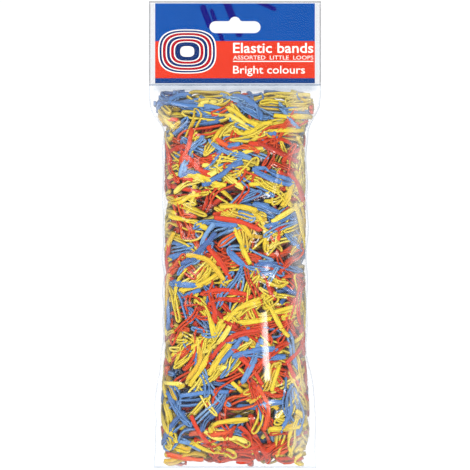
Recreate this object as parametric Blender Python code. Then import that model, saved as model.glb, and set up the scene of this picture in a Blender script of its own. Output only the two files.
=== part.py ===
"""Hang-sell pouch of small elastic bands, with a header card that hangs on a peg.

The clear pouch is a flat film tube: a header pocket at the top, which holds a printed card, and below it a
pillow of loose elastic bands. A fused neck strip divides the two, and the film under it is a living hinge.
Frame: origin at the top of the hang slot, where the peg bears, +Z up, the front faces -Y. Metres.
"""

import math
import random

import bmesh
import bpy
import numpy as np
from mathutils.bvhtree import BVHTree

MM = 0.001

# Hang slot: a euro slot with a round hump in the middle, whose top is the origin.
SLOT_WIDTH = 32.0 * MM
SLOT_HEIGHT = 7.5 * MM
HUMP_RADIUS = 3.5 * MM
HUMP_RISE = 2.8 * MM
HUMP_FILLET = 1.5 * MM

# Header pocket: a card between two films, fused all round.
CARD_WIDTH = 100.0 * MM
CARD_HEIGHT = 50.0 * MM
CARD_THICKNESS = 0.4 * MM
CARD_TOP = 8.3 * MM
FILM_THICKNESS = 0.2 * MM
FILM_WIDTH = 107.5 * MM
FILM_TOP = 9.6 * MM
FILM_HEIGHT = 292.0 * MM
LAYER_GAP = 0.15 * MM
SEAM_GAP = 0.3 * MM
NECK_SEAL_HEIGHT = 1.2 * MM

# Living hinge: bare film between the neck seal and the pouch.
HINGE_GAP = 0.7 * MM

# Pouch: half its width falls in from the header to the pillow and flares again to the bottom seal.
NECK_HALF_WIDTH = FILM_WIDTH / 2
WAIST_HALF_WIDTH = 45.3 * MM
FOOT_HALF_WIDTH = 50.3 * MM
SHOULDER_START, SHOULDER_END = -54.6 * MM, -73.0 * MM
FLARE_START, FLARE_END = -205.0 * MM, -246.0 * MM
SIDE_SEAL_WIDTH = 1.5 * MM
BOTTOM_SEAL_HEIGHT = 2.5 * MM
PILLOW_HALF_DEPTH = 19.6 * MM
TOP_RAMP = 40.0 * MM
BOTTOM_RAMP = 36.0 * MM
RAMP_POWER = 0.8
SECTION_POWER = 2.2

# Bands: loops cut from an extruded tube, all of one size.
BAND_LOOP_LENGTH = 68.0 * MM
BAND_WIDTH = 2.4 * MM
BAND_THICKNESS = 1.0 * MM
BAND_COUNTS = {"yellow": 19, "red": 14, "blue": 13}
BAND_CLEARANCE = 0.35 * MM
WALL_CLEARANCE = 1.0 * MM
BAND_LAYER_DEPTH = 8.6 * MM
TIP_SEGMENTS = 6
RUN_SEGMENTS = 4
BAND_SEED = 7
MOST_TRIES = 12000

# Working heights that follow from the sizes above.
CARD_BOTTOM = CARD_TOP - CARD_HEIGHT
FILM_BOTTOM = FILM_TOP - FILM_HEIGHT
NECK_SEAL_TOP = CARD_BOTTOM - SEAM_GAP
NECK_SEAL_BOTTOM = NECK_SEAL_TOP - NECK_SEAL_HEIGHT
HINGE_HEIGHT = NECK_SEAL_BOTTOM - HINGE_GAP
POUCH_TOP = HINGE_HEIGHT - HINGE_GAP
POUCH_BOTTOM = FILM_BOTTOM + BOTTOM_SEAL_HEIGHT + SEAM_GAP
FILM_FACE = CARD_THICKNESS / 2 + LAYER_GAP
WALL_HALF_GAP = SEAM_GAP / 2

CLEAR_FILM = ((0.93, 0.95, 0.97), 0.12, 0.3)
FUSED_FILM = ((0.90, 0.92, 0.95), 0.25, 0.6)
CARD_STOCK = ((0.10, 0.33, 0.69), 0.45, 1.0)
PILE_MIX = ((0.62, 0.42, 0.22), 0.60, 1.0)
BAND_COLOURS = {
    "yellow": ((0.93, 0.80, 0.10), 0.45, 1.0),
    "red": ((0.86, 0.14, 0.08), 0.45, 1.0),
    "blue": ((0.10, 0.30, 0.72), 0.45, 1.0),
}


def clear_scene():
    for obj in list(bpy.data.objects):
        bpy.data.objects.remove(obj, do_unlink=True)


def make_material(name, finish):
    """A Principled material from (colour, roughness, alpha)."""
    colour, roughness, alpha = finish
    found = bpy.data.materials.get(name)
    if found:
        return found
    material = bpy.data.materials.new(name)
    material.use_nodes = True
    shader = material.node_tree.nodes["Principled BSDF"]
    shader.inputs["Base Color"].default_value = (*colour, 1.0)
    shader.inputs["Roughness"].default_value = roughness
    shader.inputs["Metallic"].default_value = 0.0
    shader.inputs["Alpha"].default_value = alpha
    return material


def add_object(name, mesh, material):
    obj = bpy.data.objects.new(name, mesh)
    bpy.context.scene.collection.objects.link(obj)
    if material:
        mesh.materials.append(material)
    return obj


def add_block(name, x_range, y_range, z_range, material):
    """A rectangular strip or plate between two corners."""
    ranges = (x_range, y_range, z_range)
    sizes = [max(r) - min(r) for r in ranges]
    middle = [sum(r) / 2 for r in ranges]
    shape = bmesh.new()
    bmesh.ops.create_cube(shape, size=1.0)
    bmesh.ops.scale(shape, vec=sizes, verts=shape.verts)
    bmesh.ops.translate(shape, vec=middle, verts=shape.verts)
    mesh = bpy.data.meshes.new(name)
    shape.to_mesh(mesh)
    shape.free()
    return add_object(name, mesh, material)


# ---- header pocket -------------------------------------------------------------------------------------------


def arc(centre_x, centre_z, radius, start, end, steps):
    """Points of a circular arc in the XZ plane, angles in degrees."""
    angles = np.radians(np.linspace(start, end, steps + 1))
    return [(centre_x + radius * math.cos(a), centre_z + radius * math.sin(a)) for a in angles]


def slot_outline():
    """The euro slot: round ends, and a hump whose foot runs into the slot's top edge by a fillet."""
    end_radius = SLOT_HEIGHT / 2
    end_x = SLOT_WIDTH / 2 - end_radius
    middle_z = -HUMP_RISE - end_radius
    reach = HUMP_RADIUS + HUMP_FILLET
    fillet_z = -HUMP_RISE + HUMP_FILLET
    fillet_x = math.sqrt(reach**2 - (fillet_z + HUMP_RADIUS) ** 2)
    lean = math.degrees(math.atan2(fillet_z + HUMP_RADIUS, fillet_x))
    points = arc(end_x, middle_z, end_radius, -90, 90, 8)
    points += arc(fillet_x, fillet_z, HUMP_FILLET, -90, lean - 180, 3)
    points += arc(0, -HUMP_RADIUS, HUMP_RADIUS, lean, 180 - lean, 8)[1:-1]
    points += arc(-fillet_x, fillet_z, HUMP_FILLET, -lean, -90, 3)
    points += arc(-end_x, middle_z, end_radius, 90, 270, 8)
    return points


def make_slot_cutter():
    """The slot's outline as a prism that runs well past both faces of the header."""
    half_depth = 5.0 * MM
    shape = bmesh.new()
    rim = [shape.verts.new((x, -half_depth, z)) for x, z in slot_outline()]
    face = shape.faces.new(rim)
    grown = bmesh.ops.extrude_face_region(shape, geom=[face])
    moved = [v for v in grown["geom"] if isinstance(v, bmesh.types.BMVert)]
    bmesh.ops.translate(shape, vec=(0, 2 * half_depth, 0), verts=moved)
    bmesh.ops.recalc_face_normals(shape, faces=shape.faces)
    mesh = bpy.data.meshes.new("slot_cutter")
    shape.to_mesh(mesh)
    shape.free()
    cutter = add_object("slot_cutter", mesh, None)
    cutter.hide_render = True
    cutter.display_type = "WIRE"
    return cutter


def punch(obj, cutter):
    """The hang slot is punched through this plate."""
    cut = obj.modifiers.new("hang_slot", "BOOLEAN")
    cut.operation = "DIFFERENCE"
    cut.object = cutter
    return obj


def make_header(film, fused, card):
    cutter = make_slot_cutter()
    half_film = FILM_WIDTH / 2
    half_card = CARD_WIDTH / 2
    outer_face = FILM_FACE + FILM_THICKNESS
    sheet_z = (NECK_SEAL_BOTTOM, FILM_TOP)
    layer_y = (-CARD_THICKNESS / 2, CARD_THICKNESS / 2)

    plate = add_block("header_card", (-half_card, half_card), layer_y, (CARD_BOTTOM, CARD_TOP), card)
    punch(plate, cutter)
    front = add_block(
        "header_front_film", (-half_film, half_film), (-outer_face, -FILM_FACE), sheet_z, film
    )
    punch(front, cutter)
    back = add_block(
        "header_back_film", (-half_film, half_film), (FILM_FACE, outer_face), sheet_z, film
    )
    punch(back, cutter)

    # The fused margins lie between the films, round the card.
    inner_x = half_card + SEAM_GAP
    top_z = (CARD_TOP + SEAM_GAP, FILM_TOP)
    side_z = (NECK_SEAL_TOP + SEAM_GAP, CARD_TOP)
    neck_z = (NECK_SEAL_BOTTOM, NECK_SEAL_TOP)
    add_block("header_top_seal", (-half_film, half_film), layer_y, top_z, fused)
    add_block("header_side_seal_left", (-half_film, -inner_x), layer_y, side_z, fused)
    add_block("header_side_seal_right", (inner_x, half_film), layer_y, side_z, fused)
    add_block("neck_seal", (-half_film, half_film), layer_y, neck_z, fused)


# ---- pouch ---------------------------------------------------------------------------------------------------


def smooth_step(value, start, end):
    share = min(max((value - start) / (end - start), 0.0), 1.0)
    return share * share * (3 - 2 * share)


def half_width(z):
    """Half the pouch's width at height z, to the outer edge of the side seals."""
    shoulder = smooth_step(z, SHOULDER_END, SHOULDER_START)
    flare = smooth_step(z, FLARE_START, FLARE_END)
    return (
        WAIST_HALF_WIDTH
        + (NECK_HALF_WIDTH - WAIST_HALF_WIDTH) * shoulder
        + (FOOT_HALF_WIDTH - WAIST_HALF_WIDTH) * flare
    )


def half_depth(z):
    """Half the pillow's depth at height z: a dome at the neck and another at the bottom seal."""
    from_top = min(max((POUCH_TOP - z) / TOP_RAMP, 0.0), 1.0)
    from_bottom = min(max((z - POUCH_BOTTOM) / BOTTOM_RAMP, 0.0), 1.0)
    dome = math.sin(math.pi / 2 * from_top) * math.sin(math.pi / 2 * from_bottom)
    return PILLOW_HALF_DEPTH * dome**RAMP_POWER


def rounded(value):
    """The section's superellipse: 1 at a pole, with fuller flanks than an ellipse."""
    return math.copysign(abs(value) ** (2 / SECTION_POWER), value)


def section_point(angle, z, inset=0.0):
    """A point of the pouch's inner section, or of one that lies inset within it. Angle 0 is at the right-hand
    seam, 90 degrees at the middle of the front, 180 at the left-hand seam."""
    reach = half_width(z) - SIDE_SEAL_WIDTH - SEAM_GAP - 2 * FILM_THICKNESS - inset
    depth = max(half_depth(z) - inset, 0.0)
    return (reach * rounded(math.cos(angle)), -depth * rounded(math.sin(angle)), z)


def pouch_heights(steps):
    """Heights down the pouch, closer together at the two domes."""
    shares = np.linspace(0, 1, steps + 1)
    eased = 0.45 * shares + 0.55 * (1 - np.cos(math.pi * shares)) / 2
    return [POUCH_TOP + (POUCH_BOTTOM - POUCH_TOP) * s for s in eased]


def make_wall(name, facing, film):
    """One wall of the pouch. facing is 1 for the front, -1 for the back."""
    around, down = 16, 26
    points = []
    for z in pouch_heights(down):
        for step in range(around + 1):
            x, y, _ = section_point(math.pi * step / around, z)
            points.append((x, facing * (y - WALL_HALF_GAP), z))
    faces = []
    for row in range(down):
        for step in range(around):
            corner = row * (around + 1) + step
            quad = (corner, corner + 1, corner + around + 2, corner + around + 1)
            faces.append(quad if facing > 0 else quad[::-1])
    mesh = bpy.data.meshes.new(name)
    mesh.from_pydata(points, [], faces)
    obj = add_object(name, mesh, film)
    thick = obj.modifiers.new("film_thickness", "SOLIDIFY")
    thick.thickness = FILM_THICKNESS
    thick.offset = 1.0
    thick.use_even_offset = True
    mesh.shade_smooth()
    return obj


def make_side_seal(name, side, fused):
    """The fused seam down one side of the pouch, side 1 on the right and -1 on the left."""
    half = FILM_THICKNESS
    heights = pouch_heights(24)
    points = []
    for z in heights:
        outer = half_width(z)
        inner = outer - SIDE_SEAL_WIDTH
        for x, y in ((inner, -half), (outer, -half), (outer, half), (inner, half)):
            points.append((side * x, y, z))
    faces = [(0, 1, 2, 3), tuple(4 * (len(heights) - 1) + k for k in (3, 2, 1, 0))]
    for row in range(len(heights) - 1):
        for k in range(4):
            low, high = 4 * row, 4 * row + 4
            faces.append((low + k, high + k, high + (k + 1) % 4, low + (k + 1) % 4))
    mesh = bpy.data.meshes.new(name)
    mesh.from_pydata(points, [], faces)
    face_outwards(mesh)
    return add_object(name, mesh, fused)


def face_outwards(mesh):
    shape = bmesh.new()
    shape.from_mesh(mesh)
    bmesh.ops.recalc_face_normals(shape, faces=shape.faces)
    shape.to_mesh(mesh)
    shape.free()


def make_pile(mix):
    """The inner mass of loose bands, as one plain pillow inside the layer of separate bands."""
    around, down = 20, 12
    top = POUCH_TOP - 0.4 * TOP_RAMP
    bottom = POUCH_BOTTOM + 0.4 * BOTTOM_RAMP
    shape = bmesh.new()
    rings = []
    for row in range(down + 1):
        share = row / down
        z = top + (bottom - top) * share
        swell = math.sin(math.pi * (0.06 + 0.88 * share)) ** 0.35
        ring = []
        for step in range(around):
            angle = 2 * math.pi * step / around
            x, y, _ = section_point(angle, z, BAND_LAYER_DEPTH)
            ring.append(shape.verts.new((x * swell, y * swell, z)))
        rings.append(ring)
    for upper, lower in zip(rings, rings[1:]):
        for step in range(around):
            after = (step + 1) % around
            shape.faces.new((upper[step], upper[after], lower[after], lower[step]))
    shape.faces.new(rings[0])
    shape.faces.new(rings[-1])
    bmesh.ops.recalc_face_normals(shape, faces=shape.faces)
    mesh = bpy.data.meshes.new("band_pile")
    shape.to_mesh(mesh)
    shape.free()
    mesh.shade_smooth()
    return add_object("band_pile", mesh, mix)


# ---- bands ---------------------------------------------------------------------------------------------------


def loop_points(opening):
    """The flattened loop: two straight runs and two round tips, as wide as opening, the whole way round."""
    radius = opening / 2
    run = (BAND_LOOP_LENGTH - math.pi * opening) / 2
    along = np.linspace(-run / 2, run / 2, RUN_SEGMENTS + 1)[1:-1]
    points = arc(run / 2, 0, radius, -90, 90, TIP_SEGMENTS)
    points += [(x, radius) for x in along[::-1]]
    points += arc(-run / 2, 0, radius, 90, 270, TIP_SEGMENTS)
    points += [(x, -radius) for x in along]
    return np.array(points)


def band_edges(shape, width):
    """Both edges of the band as points (along, across, deep) about its middle. The loop stands at the roll
    angle: at 0 it lies flat and shows its rims, at 90 degrees it shows its faces. Twist turns one end against
    the other, bow curves the loop within its layer, and taper opens one tip and closes the other."""
    path = loop_points(shape["opening"])
    reach = np.abs(path[:, 0]).max()
    share = path[:, 0] / reach
    across = path[:, 1] * (1 + shape["taper"] * share)
    roll = shape["roll"] + shape["twist"] * share
    bow = shape["bow"] * (share**2 - 0.5)
    edges = []
    for side in (width / 2, -width / 2):
        sideways = across * np.cos(roll) - side * np.sin(roll) + bow
        deep = across * np.sin(roll) + side * np.cos(roll)
        edges.append(np.stack([path[:, 0], sideways, deep], axis=1))
    return edges


def arc_lengths(z):
    """Angles round the pouch's section at height z, and the distance round it to each."""
    angles = np.linspace(-math.pi, 3 * math.pi, 241)
    points = np.array([section_point(a, z, BAND_LAYER_DEPTH / 2)[:2] for a in angles])
    steps = np.linalg.norm(np.diff(points, axis=0), axis=1)
    return angles, np.concatenate([[0.0], np.cumsum(steps)])


def lay_in_pouch(local, place, heading):
    """Carries (along, across, deep) points to the layer under the pouch's wall, round the place's angle."""
    angle, z_middle, depth = place
    angles, lengths = arc_lengths(z_middle)
    start = np.interp(angle, angles, lengths)
    turn = math.cos(heading), math.sin(heading)
    placed = []
    for along, across, deep in local:
        round_wall = along * turn[0] - across * turn[1]
        upwards = along * turn[1] + across * turn[0]
        at = np.interp(start - round_wall, lengths, angles)
        placed.append(section_point(at, z_middle + upwards, depth + deep))
    return np.array(placed)


def band_rings(shape, place, heading, grow=0.0):
    """The band's four corners at each point of the loop, as an array (points, 4, 3)."""
    width = BAND_WIDTH + grow
    half_thick = (BAND_THICKNESS + grow) / 2
    edges = [lay_in_pouch(edge, place, heading) for edge in band_edges(shape, width)]
    middle = (edges[0] + edges[1]) / 2
    run = np.roll(middle, -1, axis=0) - np.roll(middle, 1, axis=0)
    face = np.cross(run, edges[0] - edges[1])
    face *= half_thick / np.linalg.norm(face, axis=1, keepdims=True)
    corners = [edges[0] + face, edges[1] + face, edges[1] - face, edges[0] - face]
    return np.stack(corners, axis=1)


def ring_faces(count):
    """Quads of a closed ring with a four-cornered section."""
    faces = []
    for ring in range(count):
        after = (ring + 1) % count
        for k in range(4):
            follow = (k + 1) % 4
            faces.append((4 * ring + k, 4 * ring + follow, 4 * after + follow, 4 * after + k))
    return faces


def tree_of(rings):
    return BVHTree.FromPolygons(rings.reshape(-1, 3).tolist(), ring_faces(len(rings)))


def random_shape(source):
    """One of the ways a band lies: flat, on its side, or rolled part of the way, with some twist."""
    roll = source.choice((0.0, 90.0, 90.0, 35.0, -35.0, 60.0))
    return {
        "opening": source.uniform(3.0, 6.0) * MM,
        "roll": math.radians(roll + source.uniform(-12, 12)),
        "twist": math.radians(source.uniform(-38, 38)),
        "bow": source.uniform(-4.5, 4.5) * MM,
        "taper": source.uniform(-0.35, 0.35),
    }


def fits_layer(shape):
    """Half the depth that the band takes in its layer, and whether the layer has room for it."""
    deep = np.concatenate([edge[:, 2] for edge in band_edges(shape, BAND_WIDTH)])
    half = np.abs(deep).max() + BAND_THICKNESS / 2
    room = BAND_LAYER_DEPTH - WALL_CLEARANCE - BAND_CLEARANCE
    return half, 2 * half <= room


def inside_ends(rings):
    """Clear of the neck and of the bottom seal, where the pillow is thinner than the band layer."""
    heights = rings[:, :, 2]
    low = POUCH_BOTTOM + 0.2 * BOTTOM_RAMP
    high = POUCH_TOP - 0.2 * TOP_RAMP
    depth_left = min(half_depth(heights.max()), half_depth(heights.min()))
    return heights.min() > low and heights.max() < high and depth_left > BAND_LAYER_DEPTH


def scatter_bands():
    """Places the bands one after another where each is clear of all those before it."""
    source = random.Random(BAND_SEED)
    wanted = [colour for colour, count in BAND_COUNTS.items() for _ in range(count)]
    source.shuffle(wanted)
    placed, trees = [], []
    for _ in range(MOST_TRIES):
        if len(placed) == len(wanted):
            break
        shape = random_shape(source)
        angle = source.uniform(0, 2 * math.pi)
        z_middle = source.uniform(POUCH_BOTTOM + 14 * MM, POUCH_TOP - 14 * MM)
        heading = source.uniform(-math.pi / 2, math.pi / 2)
        half, fits = fits_layer(shape)
        if not fits:
            continue
        depth = WALL_CLEARANCE + half + source.uniform(0.0, 0.6) * MM
        place = (angle, z_middle, depth)
        grown = band_rings(shape, place, heading, 2 * BAND_CLEARANCE)
        if not inside_ends(grown):
            continue
        tree = tree_of(grown)
        if any(tree.overlap(other) for other in trees):
            continue
        placed.append((wanted[len(placed)], band_rings(shape, place, heading)))
        trees.append(tree)
    return placed


def make_bands():
    numbers = dict.fromkeys(BAND_COUNTS, 0)
    for colour, rings in scatter_bands():
        numbers[colour] += 1
        name = f"band_{colour}_{numbers[colour]:02d}"
        mesh = bpy.data.meshes.new(name)
        mesh.from_pydata(rings.reshape(-1, 3).tolist(), [], ring_faces(len(rings)))
        face_outwards(mesh)
        mesh.shade_smooth()
        mesh.set_sharp_from_angle(angle=math.radians(50))
        add_object(name, mesh, make_material(f"band_{colour}", BAND_COLOURS[colour]))
    return numbers


def main():
    clear_scene()
    film = make_material("clear_film", CLEAR_FILM)
    fused = make_material("fused_film", FUSED_FILM)
    make_header(film, fused, make_material("card_stock", CARD_STOCK))
    make_wall("pouch_front_wall", 1, film)
    make_wall("pouch_back_wall", -1, film)
    make_side_seal("side_seal_left", -1, fused)
    make_side_seal("side_seal_right", 1, fused)
    foot = half_width(POUCH_BOTTOM)
    seal_z = (FILM_BOTTOM, FILM_BOTTOM + BOTTOM_SEAL_HEIGHT)
    add_block("bottom_seal", (-foot, foot), (-FILM_THICKNESS, FILM_THICKNESS), seal_z, fused)
    make_pile(make_material("pile_mix", PILE_MIX))
    print("bands placed:", make_bands())


main()
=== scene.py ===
import math

import bpy
import numpy as np
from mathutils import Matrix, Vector


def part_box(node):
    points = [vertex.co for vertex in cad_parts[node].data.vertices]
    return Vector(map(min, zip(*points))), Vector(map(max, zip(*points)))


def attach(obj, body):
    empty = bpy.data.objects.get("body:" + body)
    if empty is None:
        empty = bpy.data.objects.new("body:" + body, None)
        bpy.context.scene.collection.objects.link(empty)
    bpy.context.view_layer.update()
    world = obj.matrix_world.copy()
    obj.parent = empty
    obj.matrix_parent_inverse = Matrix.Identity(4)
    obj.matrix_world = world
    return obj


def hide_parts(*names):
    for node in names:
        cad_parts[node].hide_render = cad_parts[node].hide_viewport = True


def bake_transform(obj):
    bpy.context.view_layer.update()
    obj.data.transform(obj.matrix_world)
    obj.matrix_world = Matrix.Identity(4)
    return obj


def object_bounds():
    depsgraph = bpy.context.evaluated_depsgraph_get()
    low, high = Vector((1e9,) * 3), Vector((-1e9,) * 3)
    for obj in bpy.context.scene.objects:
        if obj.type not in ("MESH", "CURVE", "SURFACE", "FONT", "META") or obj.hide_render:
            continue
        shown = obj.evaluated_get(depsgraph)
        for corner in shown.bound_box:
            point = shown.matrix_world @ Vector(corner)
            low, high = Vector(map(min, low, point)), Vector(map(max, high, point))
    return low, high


# Hanging pouch of small elastic bands: looks only, in metres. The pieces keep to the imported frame's boxes.
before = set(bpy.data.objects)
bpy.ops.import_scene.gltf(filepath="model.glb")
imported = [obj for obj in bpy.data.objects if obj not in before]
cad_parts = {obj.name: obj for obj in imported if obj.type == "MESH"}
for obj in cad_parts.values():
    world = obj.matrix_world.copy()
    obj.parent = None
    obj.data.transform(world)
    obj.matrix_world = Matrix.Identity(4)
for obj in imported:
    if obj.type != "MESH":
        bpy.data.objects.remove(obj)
cadLow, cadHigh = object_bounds()
mm = 0.001

# small helpers


def eased(share):
    # smooth step: 3t^2 - 2t^3, held at 0 and 1 outside its range
    t = np.clip(share, 0.0, 1.0)
    return t * t * (3 - 2 * t)


def makeMesh(name, points, faces):
    # a smooth shaded piece at the origin, with its place in its points
    mesh = bpy.data.meshes.new(name)
    mesh.from_pydata(points.reshape(-1, 3).tolist(), [], faces)
    mesh.validate()
    mesh.shade_smooth()
    piece = bpy.data.objects.new(name, mesh)
    bpy.context.scene.collection.objects.link(piece)
    return piece


def addValues(piece, name, values):
    # one number for each point of the mesh, for its material to read
    layer = piece.data.attributes.new(name, "FLOAT", "POINT")
    layer.data.foreach_set("value", np.asarray(values, np.float32).ravel())


def gridFaces(rows, columns, start=0, flip=False):
    # quads of a grid of rows by columns points, numbered row by row
    corner = (np.arange(rows - 1)[:, None] * columns + np.arange(columns - 1)).ravel() + start
    quads = np.stack([corner, corner + 1, corner + columns + 1, corner + columns], axis=1)
    return (quads[:, ::-1] if flip else quads).tolist()


def wavyNoise(x, z, source, waves, lowest, highest):
    # a sum of plane waves of random heading and phase, scaled to about -1..1
    total = np.zeros(np.broadcast(x, z).shape)
    for _ in range(waves):
        turn, phase = source.uniform(0, 2 * math.pi, 2)
        pitch = source.uniform(lowest, highest)
        total = total + np.sin(2 * math.pi * (x * math.cos(turn) + z * math.sin(turn)) / pitch + phase)
    return total / math.sqrt(waves)


def blurred(values, times):
    # repeated mean of each cell and its four neighbours
    for _ in range(times):
        rows = np.concatenate([values[:1], values, values[-1:]])
        values = (rows[:-2] + rows[1:-1] + rows[2:]) / 3
        values = (np.roll(values, 1, axis=1) + values + np.roll(values, -1, axis=1)) / 3
    return values


class Nodes:
    # a short hand for building a material's node tree
    def __init__(self, name):
        self.material = bpy.data.materials.new(name)
        self.material.use_nodes = True
        self.tree = self.material.node_tree
        self.tree.nodes.clear()
        self.output = self.add("ShaderNodeOutputMaterial")

    def add(self, kind, inputs=None, **settings):
        node = self.tree.nodes.new(kind)
        for key, value in settings.items():
            setattr(node, key, value)
        for key, value in (inputs or {}).items():
            self.feed(node.inputs[key], value)
        return node

    def feed(self, socket, value):
        if isinstance(value, bpy.types.NodeSocket):
            self.tree.links.new(value, socket)
        else:
            socket.default_value = value

    def math(self, operation, first, second=0.0, third=None):
        inputs = {0: first, 1: second}
        if third is not None:
            inputs[2] = third
        return self.add("ShaderNodeMath", inputs, operation=operation).outputs[0]

    def mix(self, share, first, second):
        node = self.add("ShaderNodeMix", data_type="RGBA")
        self.feed(node.inputs[0], share)
        self.feed(node.inputs[6], first)
        self.feed(node.inputs[7], second)
        return node.outputs[2]

    def ramp(self, value, stops, kind="LINEAR"):
        node = self.add("ShaderNodeValToRGB", {0: value})
        ramp = node.color_ramp
        ramp.interpolation = kind
        while len(ramp.elements) < len(stops):
            ramp.elements.new(0.5)
        for element, (place, colour) in zip(ramp.elements, stops):
            element.position = place
            element.color = colour
        return node.outputs[0]

    def noise(self, where, scale, detail=3.0, roughness=0.5):
        inputs = {"Vector": where, "Scale": scale, "Detail": detail, "Roughness": roughness}
        return self.add("ShaderNodeTexNoise", inputs).outputs["Fac"]

    def bump(self, height, strength, distance):
        inputs = {"Height": height, "Strength": strength, "Distance": distance}
        return self.add("ShaderNodeBump", inputs).outputs[0]

    def place(self):
        return self.add("ShaderNodeTexCoord").outputs["Object"]

    def segment(self, x, z, start, end):
        # distance from a straight line: the place less its nearest point on the line
        wide, tall = end[0] - start[0], end[1] - start[1]
        square = wide * wide + tall * tall
        fromX, fromZ = self.math("SUBTRACT", x, start[0]), self.math("SUBTRACT", z, start[1])
        along = self.math("MULTIPLY_ADD", fromX, wide / square, self.math("MULTIPLY", fromZ, tall / square))
        share = self.math("MINIMUM", self.math("MAXIMUM", along, 0.0), 1.0)
        awayX = self.math("MULTIPLY_ADD", share, -wide, fromX)
        awayZ = self.math("MULTIPLY_ADD", share, -tall, fromZ)
        total = self.math("MULTIPLY_ADD", awayX, awayX, self.math("MULTIPLY", awayZ, awayZ))
        return self.math("SQRT", total)

    def oval(self, x, z, centre, half, power):
        # superellipse measure, 1 on the outline: (|x/a|^p + |z/b|^p)^(1/p)
        parts = []
        for value, middle, reach in ((x, centre[0], half[0]), (z, centre[1], half[1])):
            share = self.math("MULTIPLY", self.math("SUBTRACT", value, middle), 1 / reach)
            parts.append(self.math("POWER", self.math("ABSOLUTE", share), power))
        return self.math("POWER", self.math("ADD", *parts), 1 / power)

    def within(self, value, low, high):
        # 1 between the two limits, 0 outside them
        above, below = self.math("GREATER_THAN", value, low), self.math("LESS_THAN", value, high)
        return self.math("MULTIPLY", above, below)

    def value(self, name):
        return self.add("ShaderNodeAttribute", attribute_name=name).outputs["Fac"]

    def finish(self, shader):
        self.tree.links.new(shader, self.output.inputs["Surface"])
        return self.material


def srgb(red, green, blue):
    # a screen colour of 0..255 parts as scene-linear numbers with full alpha
    parts = np.array([red, green, blue]) / 255
    linear = np.where(parts <= 0.04045, parts / 12.92, ((parts + 0.055) / 1.055) ** 2.4)  # the sRGB curve
    return (*linear.tolist(), 1.0)


def giveMaterial(piece, material):
    # the piece's only material
    piece.data.materials.clear()
    piece.data.materials.append(material)


# the pouch's shape

wallLow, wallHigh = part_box("pouch_front_wall")
sealLow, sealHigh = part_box("bottom_seal")
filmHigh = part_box("header_front_film")[1]
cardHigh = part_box("header_card")[1]
neckLow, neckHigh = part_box("neck_seal")

pouch = {
    "top": wallHigh.z,
    "bottom": wallLow.z,
    "foot": sealLow.z,
    "neckHalf": filmHigh.x,
    "waistHalf": 45.3 * mm,  # half widths and half depths throughout
    "footHalf": sealHigh.x,
    "shoulder": (-54.6 * mm, -73.0 * mm),  # heights between which it narrows to the waist
    "flare": (-205.0 * mm, -246.0 * mm),  # and widens again to the foot
    "halfDepth": -wallLow.y - 0.5 * mm,
    "topRamp": 40.0 * mm,  # the length of the dome at each end
    "bottomRamp": 36.0 * mm,
    "rampPower": 0.8,
    "sectionPower": 2.6,  # 2 would be an ellipse; more is squarer
    "flange": 0.9 * mm,  # flat film outside the pillow, each side
    "shoulderFlange": -0.3 * mm,  # a little less of it at the shoulders
    "footFlange": 2.6 * mm,  # and more of it at the foot
}


def outlineSteps(z):
    # two smooth steps from 0 to 1: upwards over the shoulder, and downwards over the flare at the foot
    shoulder = eased((z - pouch["shoulder"][1]) / (pouch["shoulder"][0] - pouch["shoulder"][1]))
    flare = eased((z - pouch["flare"][0]) / (pouch["flare"][1] - pouch["flare"][0]))
    return shoulder, flare


def halfWidthAt(z):
    # waist width, widened at the shoulder and again at the foot by smooth steps
    shoulder, flare = outlineSteps(z)
    waist = pouch["waistHalf"]
    return waist + (pouch["neckHalf"] - waist) * shoulder + (pouch["footHalf"] - waist) * flare


def flangeAt(z):
    # flat film at the sides: it changes at the shoulders and the foot by the same smooth steps as the outline
    shoulder, flare = outlineSteps(z)
    return pouch["flange"] + pouch["shoulderFlange"] * shoulder + pouch["footFlange"] * flare


def halfDepthAt(z):
    # depth times the two ends' quarter sines, raised to a power that makes the domes fuller
    fromTop = np.clip((pouch["top"] - z) / pouch["topRamp"], 0, 1)
    fromBottom = np.clip((z - pouch["bottom"]) / pouch["bottomRamp"], 0, 1)
    dome = np.sin(math.pi / 2 * fromTop) * np.sin(math.pi / 2 * fromBottom)
    return pouch["halfDepth"] * dome ** pouch["rampPower"]


def roundedPart(value):
    # a sine or cosine raised to 2/p with its sign kept, which turns a circle into a superellipse
    return np.sign(value) * np.abs(value) ** (2 / pouch["sectionPower"])


def sectionAt(angle, z, inset):
    # superellipse section: angle 0 at the right seam, a quarter turn at the front, inset inwards
    reach = halfWidthAt(z) - flangeAt(z) - inset
    depth = np.maximum(halfDepthAt(z) - inset, 0.0)
    return reach * roundedPart(np.cos(angle)), -depth * roundedPart(np.sin(angle))


# the pile of bands

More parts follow.
